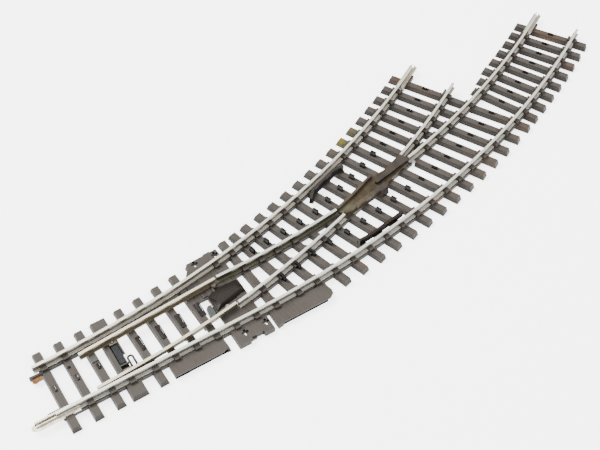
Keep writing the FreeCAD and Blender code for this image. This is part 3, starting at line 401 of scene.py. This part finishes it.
def soften(item, width):
    """Round a CAD node's sharp edges a little."""
    weld = item.modifiers.new("weld", "WELD")
    weld.merge_threshold = 0.002 * MM
    bevel = item.modifiers.new("soft_edges", "BEVEL")
    bevel.width = width * MM
    bevel.segments = 2
    bevel.limit_method = "ANGLE"
    bevel.angle_limit = math.radians(35)


SOFT_EDGES = {
    "tie_bar": 0.12,
    "drive_cover": 0.18,
    "drive_slider": 0.10,
    "slide_pad": 0.08,
    "inner_studs": 0.10,
    "outer_studs": 0.10,
    "left_check_rail": 0.10,
    "right_check_rail": 0.10,
    "contact_tongue": 0.05,
}
for name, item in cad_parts.items():
    if not item.material_slots:
        item.data.materials.append(LOOKS[name])
    for holder in item.material_slots:
        holder.material = LOOKS[name]
    if name in SOFT_EDGES:
        soften(item, SOFT_EDGES[name])


# ---------------------------------------------------------------- pieces finer than the CAD
def prism(name, corners, low, high, look, body, edge=0.05):
    """An upright piece from its outline in plan and two heights, in millimetres."""
    mesh = bpy.data.meshes.new(name)
    build = bmesh.new()
    lower = [build.verts.new((x * MM, y * MM, low * MM)) for x, y in corners]
    upper = [build.verts.new((x * MM, y * MM, high * MM)) for x, y in corners]
    build.faces.new(lower[::-1])
    build.faces.new(upper)
    for index in range(len(corners)):
        after = (index + 1) % len(corners)
        build.faces.new((lower[index], lower[after], upper[after], upper[index]))
    bmesh.ops.recalc_face_normals(build, faces=build.faces)
    build.to_mesh(mesh)
    build.free()
    mesh.materials.append(look)
    piece = bpy.data.objects.new(name, mesh)
    bpy.context.scene.collection.objects.link(piece)
    soften(piece, edge)
    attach(piece, body)


def box_corners(middle_x, middle_y, half_x, half_y, turn=0.0):
    """The corners of a turned rectangle in plan."""
    cosine = math.cos(turn)
    sine = math.sin(turn)
    corners = []
    for across, along in ((-half_x, -half_y), (half_x, -half_y), (half_x, half_y), (-half_x, half_y)):
        x = middle_x + across * cosine - along * sine
        y = middle_y + across * sine + along * cosine
        corners.append((x, y))
    return corners


def joiner_tongue():
    """The rounded flat tongue at the free end of the entry joiner."""
    radius = 1.05
    middle_x = -6.6
    root_x = -5.9
    steps = 12
    arc = []
    for step in range(steps + 1):
        angle = math.radians(90 + 180 / steps * step)
        arc.append((middle_x + radius * math.cos(angle), -RAIL_OFFSET + radius * math.sin(angle)))
    corners = [(root_x, -RAIL_OFFSET + radius)] + arc + [(root_x, -RAIL_OFFSET - radius)]
    prism("entry_joiner_tongue", corners, 1.8, BED_TOP, joiner_look, "track")


def bar_ridges():
    """The lengthwise ridges on the tie bar's raised block."""
    block_x = 24.1
    block_y = 0.9
    for number, aside in enumerate((-0.78, -0.26, 0.26, 0.78)):
        corners = box_corners(block_x + aside, block_y, 0.11, 3.6)
        prism("tie_bar_ridge_%d" % number, corners, 2.25, 2.42, tie_bar_look, "throw", 0.04)


def entry_slots():
    """A thin dark sheet of painted shade for the recess round each stud of the entry track, and a steel
    contact leaf on it.
    """
    first_stud = 3.35
    stud_pitch = 7.1
    dark = dark_material("slot_shadow", (0.006, 0.005, 0.005), (0.030, 0.027, 0.025), 0.6)
    # The tie bar's block takes the place of stud 3.
    for number in (0, 1, 2, 4, 5, 6, 7):
        middle_x = first_stud + stud_pitch * number
        # The studs stand halfway between the two routes' centre lines.
        middle_y = middle_x * middle_x / (4 * ROUTE_RADIUS)
        # The three studs before the tie bar are short and the others long.
        reach, slot_half = (1.0, 0.48) if number < 3 else (2.6, 0.60)
        slot_corners = box_corners(middle_x, middle_y, slot_half, reach + 0.2)
        # Painted shade: a thin near-black sheet lying on the sleeper top stands for the shade in the recess
        # round the stud.
        prism("entry_slot_%d" % number, slot_corners, 2.05, 2.13, dark, "track")
        leaf_corners = box_corners(middle_x + 0.14, middle_y + 0.1, 0.08, 0.50 * reach)
        prism("entry_leaf_%d" % number, leaf_corners, 2.3, 2.62, steel, "track", 0.04)


def cover_details():
    """The ridge round the cover's top, and the small tab and hook beside the cover."""
    rim_half = 0.13
    rim = [(58.9, 0.0), (67.0, 1.75), (66.7, 2.35), (65.5, 3.35), (60.2, 3.85), (58.1, 2.3)]
    for number, (start, end) in enumerate(zip(rim, rim[1:] + rim[:1])):
        middle = ((start[0] + end[0]) / 2, (start[1] + end[1]) / 2)
        length = math.hypot(end[0] - start[0], end[1] - start[1])
        turn = math.atan2(end[1] - start[1], end[0] - start[0])
        corners = box_corners(middle[0], middle[1], length / 2 + 0.1, rim_half, turn)
        prism("cover_rim_%d" % number, corners, 3.2, 3.42, cover_look, "track", 0.05)
    prism("cover_tab", box_corners(59.65, 6.0, 0.28, 0.75), 2.0, 2.62, pad_look, "track")
    hook = [(55.7, 5.0), (57.1, 5.2), (57.1, 5.55), (56.1, 5.45), (56.0, 6.3), (55.6, 6.3)]
    prism("cover_hook", hook, 2.0, 2.5, pad_look, "track")


joiner_tongue()
bar_ridges()
entry_slots()
cover_details()


# ---------------------------------------------------------------- stage, light, camera
STAGE_GLOW = 3.2


def stage_material():
    """A near-white floor that also gives off light, so that it renders almost white."""
    g = Graph("stage_white")
    colour = g.mix(g.noise(0.004, 2.0), (0.93, 0.93, 0.925), (0.95, 0.945, 0.94))
    return g.finish(
        colour, 0.9, Specular_IOR_Level=0.0, Emission_Color=(1.0, 1.0, 1.0), Emission_Strength=STAGE_GLOW)


def make_stage():
    half = 12.0
    mesh = bpy.data.meshes.new("studio_floor")
    corners = [(-half, -half, 0), (half, -half, 0), (half, half, 0), (-half, half, 0)]
    mesh.from_pydata(corners, [], [(0, 1, 2, 3)])
    floor = bpy.data.objects.new("studio_floor", mesh)
    floor.location = (0.12, 0.0, -0.0001)
    mesh.materials.append(stage_material())
    bpy.context.scene.collection.objects.link(floor)


def area_light(name, spot, target, width, power, tint):
    data = bpy.data.lights.new(name, "AREA")
    data.shape = "DISK"
    data.size = width
    data.energy = power
    data.color = tint
    lamp = bpy.data.objects.new(name, data)
    lamp.location = spot
    lamp.rotation_euler = (Vector(target) - Vector(spot)).to_track_quat("-Z", "Y").to_euler()
    bpy.context.scene.collection.objects.link(lamp)


def make_lights():
    middle = (0.12, 0.02, 0.0)
    area_light("key", (-0.35, 0.55, 0.95), middle, 0.75, 30.0, (1.0, 0.985, 0.96))
    area_light("fill", (0.65, -0.55, 0.75), middle, 0.9, 6.5, (1.0, 0.97, 0.93))
    world = bpy.data.worlds.new("studio")
    world.use_nodes = True
    world.node_tree.nodes["Background"].inputs[0].default_value = (1.0, 1.0, 1.0, 1.0)
    world.node_tree.nodes["Background"].inputs[1].default_value = 1.1
    bpy.context.scene.world = world


def make_camera():
    """The camera's place, its three axes and its focal length."""
    place = Vector((-12.35, -145.09, 250.68)) * MM
    data = bpy.data.cameras.new("camera")
    data.sensor_width = 36.0
    data.lens = 56.29
    data.clip_start = 0.01
    data.clip_end = 10.0
    camera = bpy.data.objects.new("camera", data)
    right = Vector((0.8428, -0.5375, 0.0281))
    up = Vector((0.4102, 0.6752, 0.6130))
    back = Vector((-0.3484, -0.5051, 0.7896))
    turn = Matrix((right, up, back)).transposed().to_4x4()
    camera.matrix_world = Matrix.Translation(place) @ turn
    bpy.context.scene.collection.objects.link(camera)
    bpy.context.scene.camera = camera


make_stage()
make_lights()
make_camera()

bpy.context.view_layer.update()
